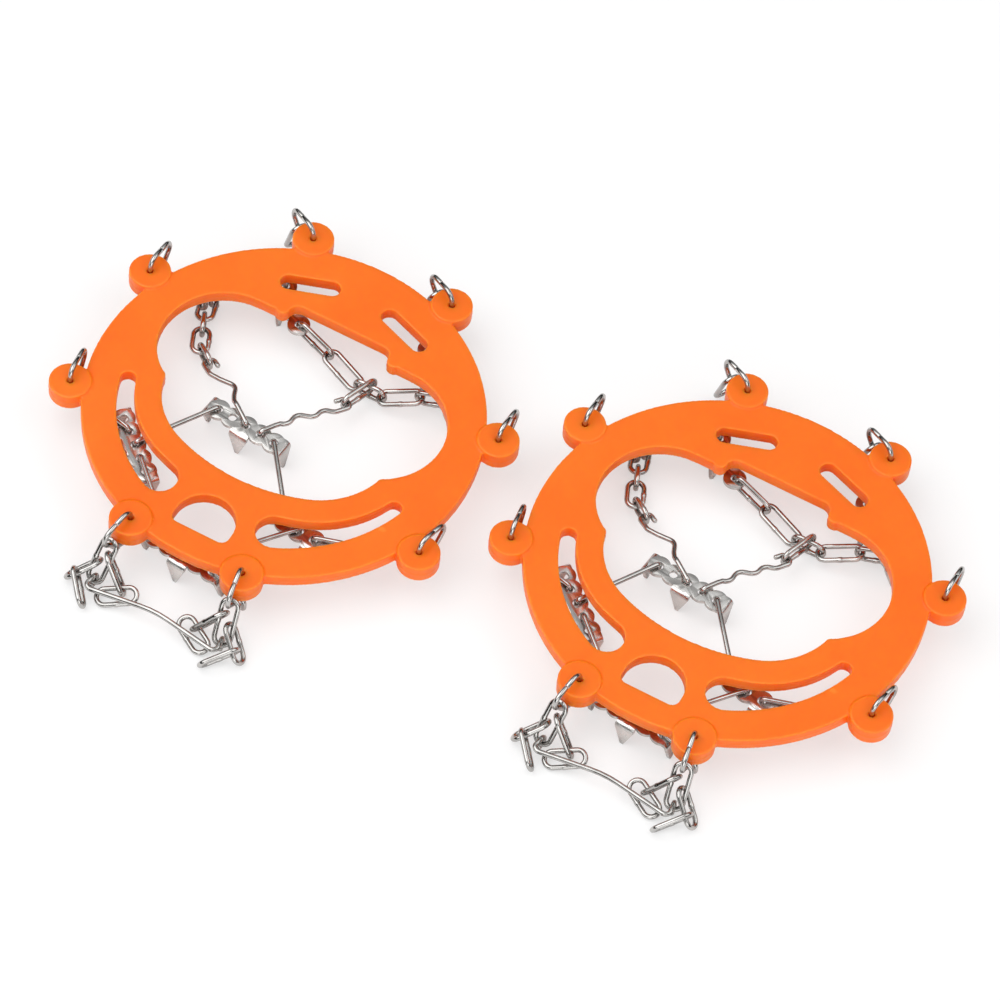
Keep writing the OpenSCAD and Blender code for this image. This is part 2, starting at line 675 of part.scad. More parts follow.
at_right() plate(PLATE_CENTRE);  // right_plate_centre
at_right() plate(PLATE_HEEL_LEFT);  // right_plate_heel_left
at_right() plate(PLATE_HEEL_RIGHT);  // right_plate_heel_right
at_right() wire_toe_left();  // right_wire_toe_left
at_right() wire_toe_right();  // right_wire_toe_right
at_right() wire_fore_left();  // right_wire_fore_left
at_right() wire_fore_right();  // right_wire_fore_right
at_right() wire_mid_left();  // right_wire_mid_left
at_right() wire_mid_right();  // right_wire_mid_right
at_right() wire_side_left();  // right_wire_side_left
at_right() wire_side_right();  // right_wire_side_right
at_right() wire_arch_left();  // right_wire_arch_left
at_right() wire_arch_right();  // right_wire_arch_right
at_right() wire_heel_left();  // right_wire_heel_left
at_right() wavy_left();  // right_wavy_left
at_right() wavy_right();  // right_wavy_right
at_right() toe_bar();  // right_toe_bar
at_right() chain_links();  // right_chain_links
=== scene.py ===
import math

import bpy
from mathutils import Matrix, Vector


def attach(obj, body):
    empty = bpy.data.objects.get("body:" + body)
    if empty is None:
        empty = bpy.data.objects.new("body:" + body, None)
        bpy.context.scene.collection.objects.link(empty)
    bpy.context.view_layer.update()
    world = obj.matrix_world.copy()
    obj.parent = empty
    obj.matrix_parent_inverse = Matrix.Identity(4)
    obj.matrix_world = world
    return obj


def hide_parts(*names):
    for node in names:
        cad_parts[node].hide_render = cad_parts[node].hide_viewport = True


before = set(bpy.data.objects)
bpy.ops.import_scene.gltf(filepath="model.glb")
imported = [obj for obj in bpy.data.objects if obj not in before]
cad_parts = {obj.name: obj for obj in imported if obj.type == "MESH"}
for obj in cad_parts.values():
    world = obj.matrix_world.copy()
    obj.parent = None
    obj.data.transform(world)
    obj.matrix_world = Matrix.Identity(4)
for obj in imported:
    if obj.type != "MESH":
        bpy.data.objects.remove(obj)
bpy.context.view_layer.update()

scene = bpy.context.scene

MM = 0.001
UP = Vector((0, 0, 1))

# sizes of a cleat, in millimetres, as the model has them
WIRE_D = 2.0
PLATE_T = 1.5
PLAY = 0.6
EYE_PITCH = 6.5
NET_Z = 11.0
TAB_D = 16.5
TAB_T = 7.5
BAND_T = 5.6
EYELET_D = 2.6
PAIR_GAP = 8.5
PAIR_STAGGER = 24.0

# knobs on the edge of the shoe opening, the same on both sides
KNOB_R = 2.95
KNOBS = ((49.77, -11.2), (24.8, 42.8))

# bent rings: corners seen from the side, and the seam where the wire's two ends meet
RING_DOWN = 4.5
RING_UP = 4.5
RING_R = 4.0
RING_REACH = 15.0
RING_MID = 3.0
RING_SEAM = 0.25

# links and hooks, with the gaps that let them hang in each other
LINK_W = 8.4
LINK_R = (LINK_W - WIRE_D) / 2
HOOK_H = PLATE_T + WIRE_D + 2 * PLAY
HOOK_BACK = 0.6
HOOK_R = HOOK_H / 2 - HOOK_BACK
HOOK_TAIL = 3.4
RING_SPARE = 0.8
RING_HOOK = HOOK_H + RING_SPARE
HANG_GAP = 0.4
HANG = WIRE_D + HANG_GAP
SLACK_GAP = 2.0
SLACK = WIRE_D + SLACK_GAP
TOE_SPARE = 0.5
LEAD = 4.0
SOFT_R = 4.0

# crimped wires: straight start, and length of the hook round a link
WAVY_START = 2.4
WAVY_HOOK = 5.0

# heights above the ground: seats of upright links, seats of hooks, slack ends, rings and tabs
LOW_GAP = 0.4
LOW_Z = LINK_R + WIRE_D / 2 + LOW_GAP
FLAT_GAP = 0.45
FLAT_Z = HOOK_H / 2 + WIRE_D / 2 + FLAT_GAP
GROUND_GAP = 0.2
RING_Z = NET_Z - (RING_HOOK - HOOK_H) / 2
TAB_Z = RING_Z + RING_DOWN + RING_R

# bowed bar at the toe
BAR_AHEAD = 6.5
BAR_OUT = RING_REACH + BAR_AHEAD
BAR_FRONT = 5.5
BAR_BEND = 2.2
BAR_BOW = 1.0
BAR_BOW_R = 40.0

# share of a ring's lower leg at which its links hang
TOE_LEG_AT = 0.7
HEEL_LEG_AT = 0.55

# eyelets: angle from the toe, distance from the middle, way the ring points
TABS = {
    "toe_left": (-18, 78.5, -100),
    "toe_right": (18, 78.5, -80),
    "fore_left": (-67.5, 83, 99),
    "fore_right": (67.5, 83, 80),
    "arch_left": (-111, 83, 90),
    "arch_right": (111, 83, 90),
    "heel_left": (-158, 83, 150),
    "heel_right": (158, 83, 150),
}
# plates: middle and turn
PLATES = {
    "toe": ((-2, -72), -6),
    "fore_left": ((-44, -38), -41),
    "fore_right": ((30, -40), -8),
    "centre": ((-12, -8), -6),
    "heel_left": ((-28, 54), 135),
    "heel_right": ((40, 52), 137),
}


# points of the net

def turned(angle):
    """Level way at an angle from the x axis."""
    a = math.radians(angle)
    return Vector((math.cos(a), math.sin(a), 0))


def level(v):
    return Vector((v.x, v.y, 0))


def left_of(v):
    return Vector((-v.y, v.x, 0))


def out_of(name):
    """Way that a ring points from its tab."""
    return turned(TABS[name][2])


def tab(name):
    """Middle of an eyelet tab, on the ground."""
    angle, reach = TABS[name][:2]
    a = math.radians(angle)
    return reach * Vector((math.sin(a), -math.cos(a), 0))


def ring_seat(name):
    """Lowest point of a ring, where a wire hooks in."""
    return tab(name) + RING_R * out_of(name) + RING_Z * UP


def eye(name, n):
    """Eye of a plate, counted from its middle one."""
    (x, y), turn = PLATES[name]
    return Vector((x, y, NET_Z)) + n * EYE_PITCH * turned(turn)


RING_CORNERS = [
    Vector((RING_R, -RING_DOWN)),
    Vector((RING_REACH - RING_R, RING_MID)),
    Vector((RING_R, RING_UP)),
]
LEG_WAY = (RING_CORNERS[1] - RING_CORNERS[0]).normalized()


def leg_dir(name):
    """Way up the lower leg of a ring."""
    return LEG_WAY.x * out_of(name) + LEG_WAY.y * UP


def leg_point(name, t):
    """Point on the lower leg of a ring, at a share of its length."""
    outer = RING_R * Vector((LEG_WAY.y, -LEG_WAY.x))
    flat = RING_CORNERS[0] + outer + t * (RING_CORNERS[1] - RING_CORNERS[0])
    return tab(name) + flat.x * out_of(name) + (TAB_Z + flat.y) * UP


def bar_end(name):
    """Seat of the toe bar's hook, ahead of a toe ring."""
    return tab(name) + BAR_OUT * out_of(name) + FLAT_Z * UP


def toe_in(name):
    """Level way from a toe ring towards the middle of the cleat."""
    side = 1 if name == "toe_left" else -1
    return side * left_of(out_of(name))


def toe_way(name):
    """Way along the link between a toe ring and the bar."""
    return (bar_end(name) - leg_point(name, TOE_LEG_AT)).normalized()


def toe_leg(name, back, v):
    """Point on a leg of that link, back from the bar's end."""
    return bar_end(name) - back * toe_way(name) + v * LINK_R * toe_in(name)


def toe_spot(name, out, aside):
    """Place just above the ground where a slack toe link ends."""
    return tab(name) + out * out_of(name) + aside * toe_in(name) + (WIRE_D + GROUND_GAP) * UP


def heel_drop(name):
    """Place on the ground where a slack heel link ends."""
    return tab(name) + RING_REACH * out_of(name) + WIRE_D * UP


# seats of the slack chains: at the left of the shoe opening, behind the centre and at the heel
LEFT_HOOK = Vector((-40, 13, LOW_Z + 2.4))
LEFT_A = Vector((-48.5, 19.5, LOW_Z))
LEFT_B = Vector((-51.3, 25.8, LOW_Z))
LEFT_C = Vector((-54.9, 34.2, LOW_Z))
LEFT_END = Vector((-58, 44, FLAT_Z))
LEFT_WAY = level(LEFT_END - LEFT_C).normalized()
LEFT_LEG = (LEFT_C + LEFT_END) / 2 + LINK_R * left_of(LEFT_WAY)
LEFT_BEND = LEFT_END - LINK_R * LEFT_WAY
LEFT_PULL = LEFT_BEND + LINK_R * level(eye("heel_left", 1) - LEFT_BEND).normalized()
RIGHT_HOOK = Vector((14, 22, LOW_Z + 4.4))
HEEL_NODE = Vector((-2, 41.5, LOW_Z + 1.4))
JOIN_A = Vector((12, 36, LOW_Z))
JOIN_B = Vector((25, 36, LOW_Z))
JOIN_TOP = Vector((18.5, 36, LOW_Z + LINK_R))
SIDE_NODE = Vector((36.5, 41, LOW_Z + 3))
EYE_LIFT = 0.4 * UP

# each cleat is centred between its bar's foremost point and its heel rings' last one
BAR_TURN = math.radians(80)
BAR_HALF_BEND = math.radians(55)
FRONT_Y = (
    bar_end("toe_left").y - BAR_FRONT * math.sin(BAR_TURN)
    + BAR_BEND * (math.tan(BAR_HALF_BEND) * math.sin(BAR_TURN) - math.cos(BAR_TURN) - 1)
    - WIRE_D / 2
)
BACK_Y = max(tab(n).y + RING_REACH * out_of(n).y for n in ("heel_left", "heel_right")) + WIRE_D / 2
MID_Y = (FRONT_Y + BACK_Y) / 2
HALF_PAIR = tab("arch_right").x + (TAB_D + PAIR_GAP) / 2
CLEAT_AT = {
    "left": Vector((-HALF_PAIR, -PAIR_STAGGER / 2 - MID_Y, 0)),
    "right": Vector((HALF_PAIR, PAIR_STAGGER / 2 - MID_Y, 0)),
}


# lines that the wires follow, with round bends in steps of some degrees

BEND_STEP = 11


def bent_line(corners, radii):
    """Flat line through the corners, each inner one rounded with its radius."""
    points = [Vector(c) for c in corners]
    line = [points[0]]
    for a, b, c, r in zip(points, points[1:], points[2:], radii[1:]):
        u, v = (b - a).normalized(), (c - b).normalized()
        turn = math.atan2(u.x * v.y - u.y * v.x, u.dot(v))
        begin = b - r * math.tan(abs(turn) / 2) * u
        middle = begin + math.copysign(r, turn) * Vector((-u.y, u.x))
        steps = max(3, round(abs(math.degrees(turn)) / BEND_STEP))
        for s in range(steps + 1):
            line.append(middle + Matrix.Rotation(turn * s / steps, 2) @ (begin - middle))
    line.append(points[-1])
    return line


def loop_line(middles, r, first=0):
    """Closed line round the corner middles, anticlockwise, from halfway along its first side."""
    m = middles[first:] + middles[:first]
    ways = [(b - a).normalized() for a, b in zip(m, m[1:] + m[:1])]
    outs = [math.atan2(-w.x, w.y) for w in ways]
    line = [(m[0] + m[1]) / 2 + r * Vector((math.cos(outs[0]), math.sin(outs[0])))]
    for i, out in enumerate(outs):
        turn = (outs[(i + 1) % len(m)] - out) % (2 * math.pi)
        steps = max(4, round(math.degrees(turn) / BEND_STEP))
        for s in range(steps + 1):
            a = out + turn * s / steps
            line.append(m[(i + 1) % len(m)] + r * Vector((math.cos(a), math.sin(a))))
    return line


def placed(line, at, x_way, y_way):
    """Flat line set up in space, with its x and y along two ways."""
    return [at + p.x * x_way + p.y * y_way for p in line]


# hook at the start of a wire, seen from the side
HOOK = [(HOOK_TAIL, -HOOK_H / 2), (0, -HOOK_H / 2), (0, HOOK_H / 2)]


def hooked_line(p, q, past, high=HOOK_H, lead=(0, 0)):
    """Upright hooks round two seats, and the wire between them."""
    u = level(q - p).normalized()
    far = level(q - p).length + sum(past)
    top = q.z - p.z + high / 2
    slope = [] if abs(top - HOOK_H / 2) < 0.01 else [(lead[0], HOOK_H / 2), (far - lead[1], top)]
    corners = HOOK + slope + [(far, top), (far, top - high), (far - HOOK_TAIL, top - high)]
    radii = [0, HOOK_R, HOOK_R] + [SOFT_R] * len(slope) + [HOOK_R, HOOK_R, 0]
    return placed(bent_line(corners, radii), p - past[0] * u, u, UP)


def wavy_line(p, q, lead, bends, side):
    """Upright hook in a plate's eye, then bends in a slanting plane, then a hook round a link's end."""
    u = level(q - p).normalized()
    start = p + HOOK_H / 2 * UP + lead * u
    g = (q - start).normalized()
    far = (q - start).length
    w = side * HOOK_H / 2
    rise = (lead + WAVY_START * level(g).length, HOOK_H / 2 + WAVY_START * g.z)
    corners = HOOK + [(lead, HOOK_H / 2), rise]
    line = placed(bent_line(corners, [0, HOOK_R, HOOK_R, SOFT_R, 0]), p, u, UP)
    tip = far + HANG
    corners = [(WAVY_START, 0)] + bends
    corners += [(far - WAVY_HOOK, w), (tip, w), (tip, -w), (tip - WAVY_HOOK, -w)]
    radii = [0] + [SOFT_R] * len(bends) + [SOFT_R, HOOK_R, HOOK_R, 0]
    return line + placed(bent_line(corners, radii), start, g, left_of(u))[1:]


def toe_bar_line():
    """Bowed bar across the toe, with an upright hook round each toe link's end."""
    ends = ("toe_left", "toe_right")
    hooks = []
    for name in ends:
        hook = bent_line(HOOK + [(LEAD, HOOK_H / 2)], [0, HOOK_R, HOOK_R, 0])
        hooks.append(placed(hook, bar_end(name) - HANG * out_of(name), out_of(name), UP))
    a, b = (bar_end(name) for name in ends)
    e, f = (out_of(name) for name in ends)
    corners = [
        a + (LEAD - HANG) * e, a + BAR_FRONT * e, (a + b) / 2 - Vector((0, BAR_BOW, 0)),
        b + BAR_FRONT * f, b + (LEAD - HANG) * f]
    bow = bent_line([c.xy for c in corners], [0, BAR_BEND, BAR_BOW_R, BAR_BEND, 0])
    high = FLAT_Z + HOOK_H / 2
    return hooks[0][:-1] + [Vector((c.x, c.y, high)) for c in bow] + hooks[1][-2::-1]


def link_loop(half):
    """Loop of a link from the half distance between the middles of its two ends."""
    return loop_line([Vector((-half, 0)), Vector((half, 0))], LINK_R)


def link_on(a, b, across):
    """Link whose wire runs through a and b, with its width across."""
    u = (b - a).normalized()
    return placed(link_loop((b - a).length / 2 - LINK_R), (a + b) / 2, u, across)


def upright_link(a, b, past=(0, 0)):
    """Link that stands on its edge, reaching past its seats."""
    u = (b - a).normalized()
    side = UP.cross(u).normalized()
    return link_on(a - past[0] * u, b + past[1] * u, u.cross(side))


def flat_link(a, b, past=(HANG, HANG)):
    """Link that lies on its side, reaching past its seats."""
    u = (b - a).normalized()
    return link_on(a - past[0] * u, b + past[1] * u, UP.cross(u).normalized())


def slack_link(a, leg, b, past=HANG):
    """Link that hangs round a straight leg at a and ends at b."""
    u = (b - a).normalized()
    across = leg.cross(u)
    return link_on(a - past / across.length * u, b, across.normalized())


LINKS = [
    upright_link(LEFT_HOOK, LEFT_A),
    flat_link(LEFT_A, LEFT_B),
    upright_link(LEFT_B, LEFT_C),
    flat_link(LEFT_C, LEFT_END, (HANG, 0)),
    upright_link(eye("heel_left", -2) + EYE_LIFT, HEEL_NODE),
    flat_link(HEEL_NODE, JOIN_A),
    upright_link(JOIN_A, JOIN_B),
    upright_link(RIGHT_HOOK, JOIN_TOP, (0, HANG)),
    flat_link(JOIN_B, SIDE_NODE),
    upright_link(SIDE_NODE, eye("heel_right", -2) + EYE_LIFT),
]
for name in ("heel_left", "heel_right"):
    LINKS.append(upright_link(ring_seat(name), eye(name, 2), (SLACK, 0)))
    seat = leg_point(name, HEEL_LEG_AT)
    LINKS.append(slack_link(seat, leg_dir(name), heel_drop(name), HANG + HANG_GAP))

# slack toe links: how far back and on which leg they hang, then how far out and aside they end
TOE_SLACK = ((5.5, -1, BAR_OUT + 4, -9.5), (11, 1, BAR_OUT - 4, 12))
for name in ("toe_left", "toe_right"):
    LINKS.append(flat_link(leg_point(name, TOE_LEG_AT), bar_end(name), (HANG, 0)))
    for back, leg, out, aside in TOE_SLACK:
        seat = toe_leg(name, back, leg)
        LINKS.append(slack_link(seat, toe_way(name), toe_spot(name, out, aside)))

# two more links lie slack at each toe ring: place from the bar's end, then heading, slope and roll
LOOSE_HALF = 4.6
LOOSE = (
    ((-2.7, -6.0, 1.35), 131.5, 14, 68),
    ((11.2, -1.0, -0.5), 27.5, 11.5, 16.5),
)


def loose_link(name, at, heading, slope, roll):
    """Slack link at a toe ring, its angles in degrees; the right toe mirrors the left."""
    steps = ((heading, "Z"), (-slope, "Y"), (roll, "X"))
    turns = [Matrix.Rotation(math.radians(angle), 3, axis) for angle, axis in steps]
    mirror = Matrix.Diagonal((1 if name == "toe_left" else -1, 1, 1))
    along, across = (mirror @ turns[0] @ turns[1] @ turns[2]).transposed()[:2]
    return placed(link_loop(LOOSE_HALF), bar_end(name) + mirror @ Vector(at), along, across)


for name in ("toe_left", "toe_right"):
    LINKS += [loose_link(name, *row) for row in LOOSE]

# wires by name: seats of their two hooks, and how far the hooks reach past them
WIRES = {
    "wire_toe_left": hooked_line(eye("toe", -2), ring_seat("toe_left"), (0, SLACK + TOE_SPARE), RING_HOOK),
    "wire_toe_right": hooked_line(eye("toe", 2), ring_seat("toe_right"), (0, SLACK), RING_HOOK),
    "wire_fore_left": hooked_line(eye("fore_left", 1), eye("toe", -1), (0, 0)),
    "wire_fore_right": hooked_line(eye("fore_right", 0), eye("toe", 1), (0, 0)),
    "wire_mid_left": hooked_line(eye("centre", -2), eye("fore_left", 0), (0, 0)),
    "wire_mid_right": hooked_line(eye("centre", 2), eye("fore_right", -1), (0, 0)),
    "wire_side_left": hooked_line(eye("fore_left", -1), ring_seat("fore_left"), (0, SLACK), RING_HOOK),
    "wire_side_right": hooked_line(eye("fore_right", 1), ring_seat("fore_right"), (0, SLACK), RING_HOOK),
    "wire_arch_left": hooked_line(
        LEFT_LEG, ring_seat("arch_left"), (HANG, SLACK), RING_HOOK, (LEAD + HANG, LEAD + SLACK)),
    "wire_arch_right": hooked_line(eye("heel_right", -1), ring_seat("arch_right"), (0, SLACK), RING_HOOK),
    "wire_heel_left": hooked_line(
        LEFT_PULL, eye("heel_left", 1), (HANG, 0), HOOK_H, (LEAD + HANG, 2 * LEAD)),
    "wavy_left": wavy_line(eye("centre", 0), LEFT_HOOK, 9.5, [(5, -1), (10, -4), (16.5, 0)], 1),
    "wavy_right": wavy_line(
        eye("centre", 1), RIGHT_HOOK, 6.5, [(5, -1.5), (10.5, 2), (16.5, -2), (21.5, 0.5)], -1),
    "toe_bar": toe_bar_line(),
}


# finishes

def new_finish(name):
    """Fresh finish with its nodes, its links and its surface."""
    finish = bpy.data.materials.new(name)
    finish.use_nodes = True
    nodes = finish.node_tree.nodes
    return finish, nodes, finish.node_tree.links, nodes["Principled BSDF"]


def grain(nodes, links, scale, detail, rough):
    """Cloudy grain that sticks to the piece."""
    place = nodes.new("ShaderNodeTexCoord")
    noise = nodes.new("ShaderNodeTexNoise")
    noise.inputs["Scale"].default_value = scale
    noise.inputs["Detail"].default_value = detail
    noise.inputs["Roughness"].default_value = rough
    links.new(place.outputs["Object"], noise.inputs["Vector"])
    return noise.outputs["Fac"]


def ramp(nodes, links, source, stops):
    """Colour that follows a source through two or more stops."""
    fade = nodes.new("ShaderNodeValToRGB")
    ends = fade.color_ramp.elements
    ends[0].position, ends[0].color = stops[0]
    ends[1].position, ends[1].color = stops[-1]
    for position, colour in stops[1:-1]:
        ends.new(position).color = colour
    links.new(source, fade.inputs["Fac"])
    return fade.outputs["Color"]


def spread(nodes, links, source, low, high, start=0.0, end=1.0):
    """Stretches a source between start and end to run from low to high."""
    share = nodes.new("ShaderNodeMapRange")
    share.inputs["From Min"].default_value = start
    share.inputs["From Max"].default_value = end
    share.inputs["To Min"].default_value = low
    share.inputs["To Max"].default_value = high
    links.new(source, share.inputs["Value"])
    return share.outputs["Result"]


# the mix node's sockets for colours
COLOUR_A, COLOUR_B, COLOUR_OUT = 6, 7, 2


def blend(nodes, links, share, a, b):
    """Two colours, the second one by its share."""
    mix = nodes.new("ShaderNodeMix")
    mix.data_type = "RGBA"
    links.new(share, mix.inputs["Factor"])
    links.new(a, mix.inputs[COLOUR_A])
    links.new(b, mix.inputs[COLOUR_B])
    return mix.outputs[COLOUR_OUT]


def edges(nodes, links, low, high):
    """How far a place stands out: 0 in hollows and flats, 1 on ridges."""
    form = nodes.new("ShaderNodeNewGeometry")
    return spread(nodes, links, form.outputs["Pointiness"], 0, 1, low, high)


def bumps(nodes, links, skin, source, strength, depth):
    """Raises a surface by a source."""
    bump = nodes.new("ShaderNodeBump")
    bump.inputs["Strength"].default_value = strength
    bump.inputs["Distance"].default_value = depth
    links.new(source, bump.inputs["Height"])
    links.new(bump.outputs["Normal"], skin.inputs["Normal"])


def orange_elastomer():
    """Orange stretch rubber: a little light goes in, and its edges are paler, partly from scuffing and
    partly as a painted highlight.
    """
    finish, nodes, links, skin = new_finish("orange_elastomer")
    cloud = grain(nodes, links, scale=26, detail=2.0, rough=0.55)
    body = ramp(nodes, links, cloud, [
        (0.30, (0.93, 0.158, 0.004, 1)),
        (0.50, (0.96, 0.172, 0.005, 1)),
        (0.72, (0.98, 0.186, 0.007, 1)),
    ])
    # paler colour on the ridges of the rubber: partly scuffed wear, partly a painted highlight along the
    # rims
    edge_colour = ramp(nodes, links, cloud, [(0.3, (1.0, 0.225, 0.016, 1)), (0.7, (1.0, 0.255, 0.024, 1))])
    edge_band = edges(nodes, links, low=0.505, high=0.56)
    links.new(blend(nodes, links, edge_band, body, edge_colour), skin.inputs["Base Color"])
    fine = grain(nodes, links, scale=1100, detail=4.0, rough=0.6)
    links.new(spread(nodes, links, cloud, low=0.30, high=0.42), skin.inputs["Roughness"])
    bumps(nodes, links, skin, fine, strength=0.08, depth=0.00012)
    skin.inputs["Subsurface Weight"].default_value = 0.8
    skin.inputs["Subsurface Radius"].default_value = (1.0, 0.20, 0.03)
    skin.inputs["Subsurface Scale"].default_value = 0.010
    skin.inputs["Specular IOR Level"].default_value = 0.32
    return finish


def stainless(name, dark, light, bright, rough, scale, edge_band):
    """Stainless steel that is cloudy on its faces and bright on its scuffed edges."""
    finish, nodes, links, skin = new_finish(name)
    skin.inputs["Metallic"].default_value = 1.0
    cloud = grain(nodes, links, scale, detail=3.0, rough=0.5)
    body = ramp(nodes, links, cloud, [(0.30, dark), (0.70, light)])
    edge_colour = ramp(nodes, links, cloud, [(0.2, light), (0.6, bright)])
    links.new(blend(nodes, links, edges(nodes, links, *edge_band), body, edge_colour), skin.inputs["Base Color"])
    fine = grain(nodes, links, scale=1500, detail=3.0, rough=0.6)
    links.new(spread(nodes, links, cloud, *rough), skin.inputs["Roughness"])
    bumps(nodes, links, skin, fine, strength=0.06, depth=0.00004)
    return finish


ORANGE = orange_elastomer()
WIRE_STEEL = stainless(
    "drawn_stainless_wire",
    dark=(0.30, 0.29, 0.28, 1),
    light=(0.47, 0.46, 0.445, 1),
    bright=(0.68, 0.67, 0.65, 1),
    rough=(0.12, 0.22),
    scale=160,
    edge_band=(0.52, 0.60),
)
PLATE_STEEL = stainless(
    "stamped_stainless_sheet",
    dark=(0.31, 0.30, 0.29, 1),
    light=(0.43, 0.42, 0.405, 1),
    bright=(0.72, 0.71, 0.69, 1),
    rough=(0.20, 0.32),
    scale=90,
    edge_band=(0.51, 0.58),
)


# pieces

SAME_PLACE = 0.01 * MM


def only(piece):
    """Selects one piece and nothing else."""
    bpy.ops.object.select_all(action="DESELECT")
    piece.select_set(True)
    bpy.context.view_layer.objects.active = piece


def edit_all(piece):
    """Opens a piece for editing, with all of it selected."""
    only(piece)
    bpy.ops.object.mode_set(mode="EDIT")
    bpy.ops.mesh.select_all(action="SELECT")


def edit_done():
    bpy.ops.object.mode_set(mode="OBJECT")


def thicken(thickness):
    """Raises the flat faces that are open for editing to a thickness."""
    bpy.ops.mesh.extrude_region_move(TRANSFORM_OT_translate={"value": thickness * MM * UP})


def fitted(piece, body, node, finish):
    """Gives a finished piece its finish and its body, and hides the model node that it stands for."""
    piece.data.materials.clear()
    piece.data.materials.append(finish)
    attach(piece, body)
    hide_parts(node)


def merged_copy(node, name):
    """Copy of a model piece with its loose triangles joined up."""
    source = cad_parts[node]
    piece = source.copy()
    piece.data = source.data.copy()
    piece.name = piece.data.name = name
    piece.parent = None
    for key in list(piece.keys()):
        del piece[key]
    scene.collection.objects.link(piece)
    edit_all(piece)
    bpy.ops.mesh.remove_doubles(threshold=SAME_PLACE)
    edit_done()
    return piece


def twin(piece, name):
    """The same piece for the right cleat, with a mesh of its own."""
    copy = piece.copy()
    copy.data = piece.data.copy()
    copy.name = copy.data.name = name
    scene.collection.objects.link(copy)
    only(copy)
    bpy.ops.transform.translate(value=(CLEAT_AT["right"] - CLEAT_AT["left"]) * MM)
    bpy.ops.object.transform_apply()
    return copy


# ends of a wire, as depth in millimetres and width: nipped off, meeting in a seam, and welded
NIPPED = ((0, 0.60), (0.10, 0.80), (0.26, 0.94), (0.50, 1.0))
SEAMED = ((0, 0.86), (0.10, 0.95), (0.22, 1.0))
WELD = ((0, 1.16), (0.5, 1.14), (0.9, 1.07), (1.3, 1.0))


def with_ends(line, ends):
    """Points and widths of a wire whose two ends follow a list of depth and width."""
    head = (line[1] - line[0]).normalized()
    tail = (line[-2] - line[-1]).normalized()
    first = [(line[0] + d * head, r) for d, r in ends]
    last = [(line[-1] + d * tail, r) for d, r in reversed(ends)]
    return first + [(p, 1.0) for p in line[1:-1]] + last


# fineness of the wire's round section, and the angle past which an edge stays sharp
WIRE_ROUND = 5
WIRE_SHARP = math.radians(50)


def drawn_wire(name, lines, ends, closed=False):
    """Round wire along one or more lines, bent in the left cleat's place."""
    bpy.ops.object.select_all(action="DESELECT")
    bpy.ops.curve.primitive_bezier_curve_add()
    wire = bpy.context.object.data
    wire.splines.clear()
    wire.dimensions = "3D"
    wire.resolution_u = 1
    wire.bevel_depth = WIRE_D / 2 * MM
    wire.bevel_resolution = WIRE_ROUND
    wire.use_fill_caps = not closed
    for line in lines:
        points = with_ends(line, ends)
        if closed:
            points.pop()
        spline = wire.splines.new("POLY")
        spline.points.add(len(points) - 1)
        for point, (place, width) in zip(spline.points, points):
            point.co = (*((place + CLEAT_AT["left"]) * MM), 1)
            point.radius = width
        spline.use_cyclic_u = closed
        spline.use_smooth = True
    only(bpy.context.object)
    bpy.ops.object.convert(target="MESH")
    piece = bpy.context.object
    piece.name = piece.data.name = name
    bpy.ops.object.transform_apply()
    bpy.ops.object.shade_smooth_by_angle(angle=WIRE_SHARP)
    return piece


def bent_ring(name):
    """Ring bent from one wire, its two ends meeting in a fine seam on the sloping upper leg."""
    line = loop_line(RING_CORNERS, RING_R, 1)
    way = (line[1] - line[0]).normalized()
    line = [line[0] + RING_SEAM / 2 * way] + line[1:] + [line[0] - RING_SEAM / 2 * way]
    line = placed(line, tab(name) + TAB_Z * UP, out_of(name), UP)
    return drawn_wire("left_bent_ring_" + name, [line], SEAMED)


def welded_links():
    """Closed links, each with a weld halfway along one side."""
    return drawn_wire("left_welded_links", [line + line[:1] for line in LINKS], WELD, closed=True)


# moulding of the harness: cut above the tabs' middle, grid, soft edges, mould line and share of faces kept
CUT_LIFT = 0.08
GRID = 0.42
SOFT_STEPS = 6
MOULD_LINE_H = 0.24
MOULD_LINE_OUT = 0.10
FACES_KEPT = 0.45


def flat_band(piece):
    """Makes the cut through the middle of the harness a band of even thickness."""
    edit_all(piece)
    bpy.ops.mesh.bisect(
        plane_co=(TAB_Z + CUT_LIFT) * MM * UP, plane_no=UP,
        clear_inner=True, clear_outer=True, threshold=SAME_PLACE)
    bpy.ops.mesh.select_all(action="SELECT")
    bpy.ops.mesh.remove_doubles(threshold=SAME_PLACE)
    bpy.ops.mesh.fill()
    bpy.ops.mesh.select_all(action="SELECT")
    bpy.ops.transform.translate(value=-(BAND_T / 2 + CUT_LIFT) * MM * UP)
    thicken(BAND_T)
    edit_done()


def tab_button():
    """One thick round tab with its eyelet hole, standing at the origin."""
    bpy.ops.object.select_all(action="DESELECT")
    bpy.ops.mesh.primitive_circle_add(vertices=96, radius=TAB_D / 2 * MM, location=(0, 0, 0))
    button = bpy.context.object
    bpy.ops.object.mode_set(mode="EDIT")
    bpy.ops.mesh.primitive_circle_add(vertices=32, radius=EYELET_D / 2 * MM, location=(0, 0, 0))
    bpy.ops.mesh.select_all(action="SELECT")
    bpy.ops.mesh.fill()
    bpy.ops.mesh.select_all(action="SELECT")
    bpy.ops.transform.translate(value=-TAB_T / 2 * MM * UP)
    thicken(TAB_T)
    edit_done()
    return button


def tab_buttons():
    """The eight tabs, copied from one."""
    buttons = [tab_button()]
    while len(buttons) < len(TABS):
        copy = buttons[0].copy()
        copy.data = buttons[0].data.copy()
        scene.collection.objects.link(copy)
        buttons.append(copy)
    for button, name in zip(buttons, TABS):
        button.location = (tab(name) + CLEAT_AT["left"] + TAB_Z * UP) * MM
    return buttons


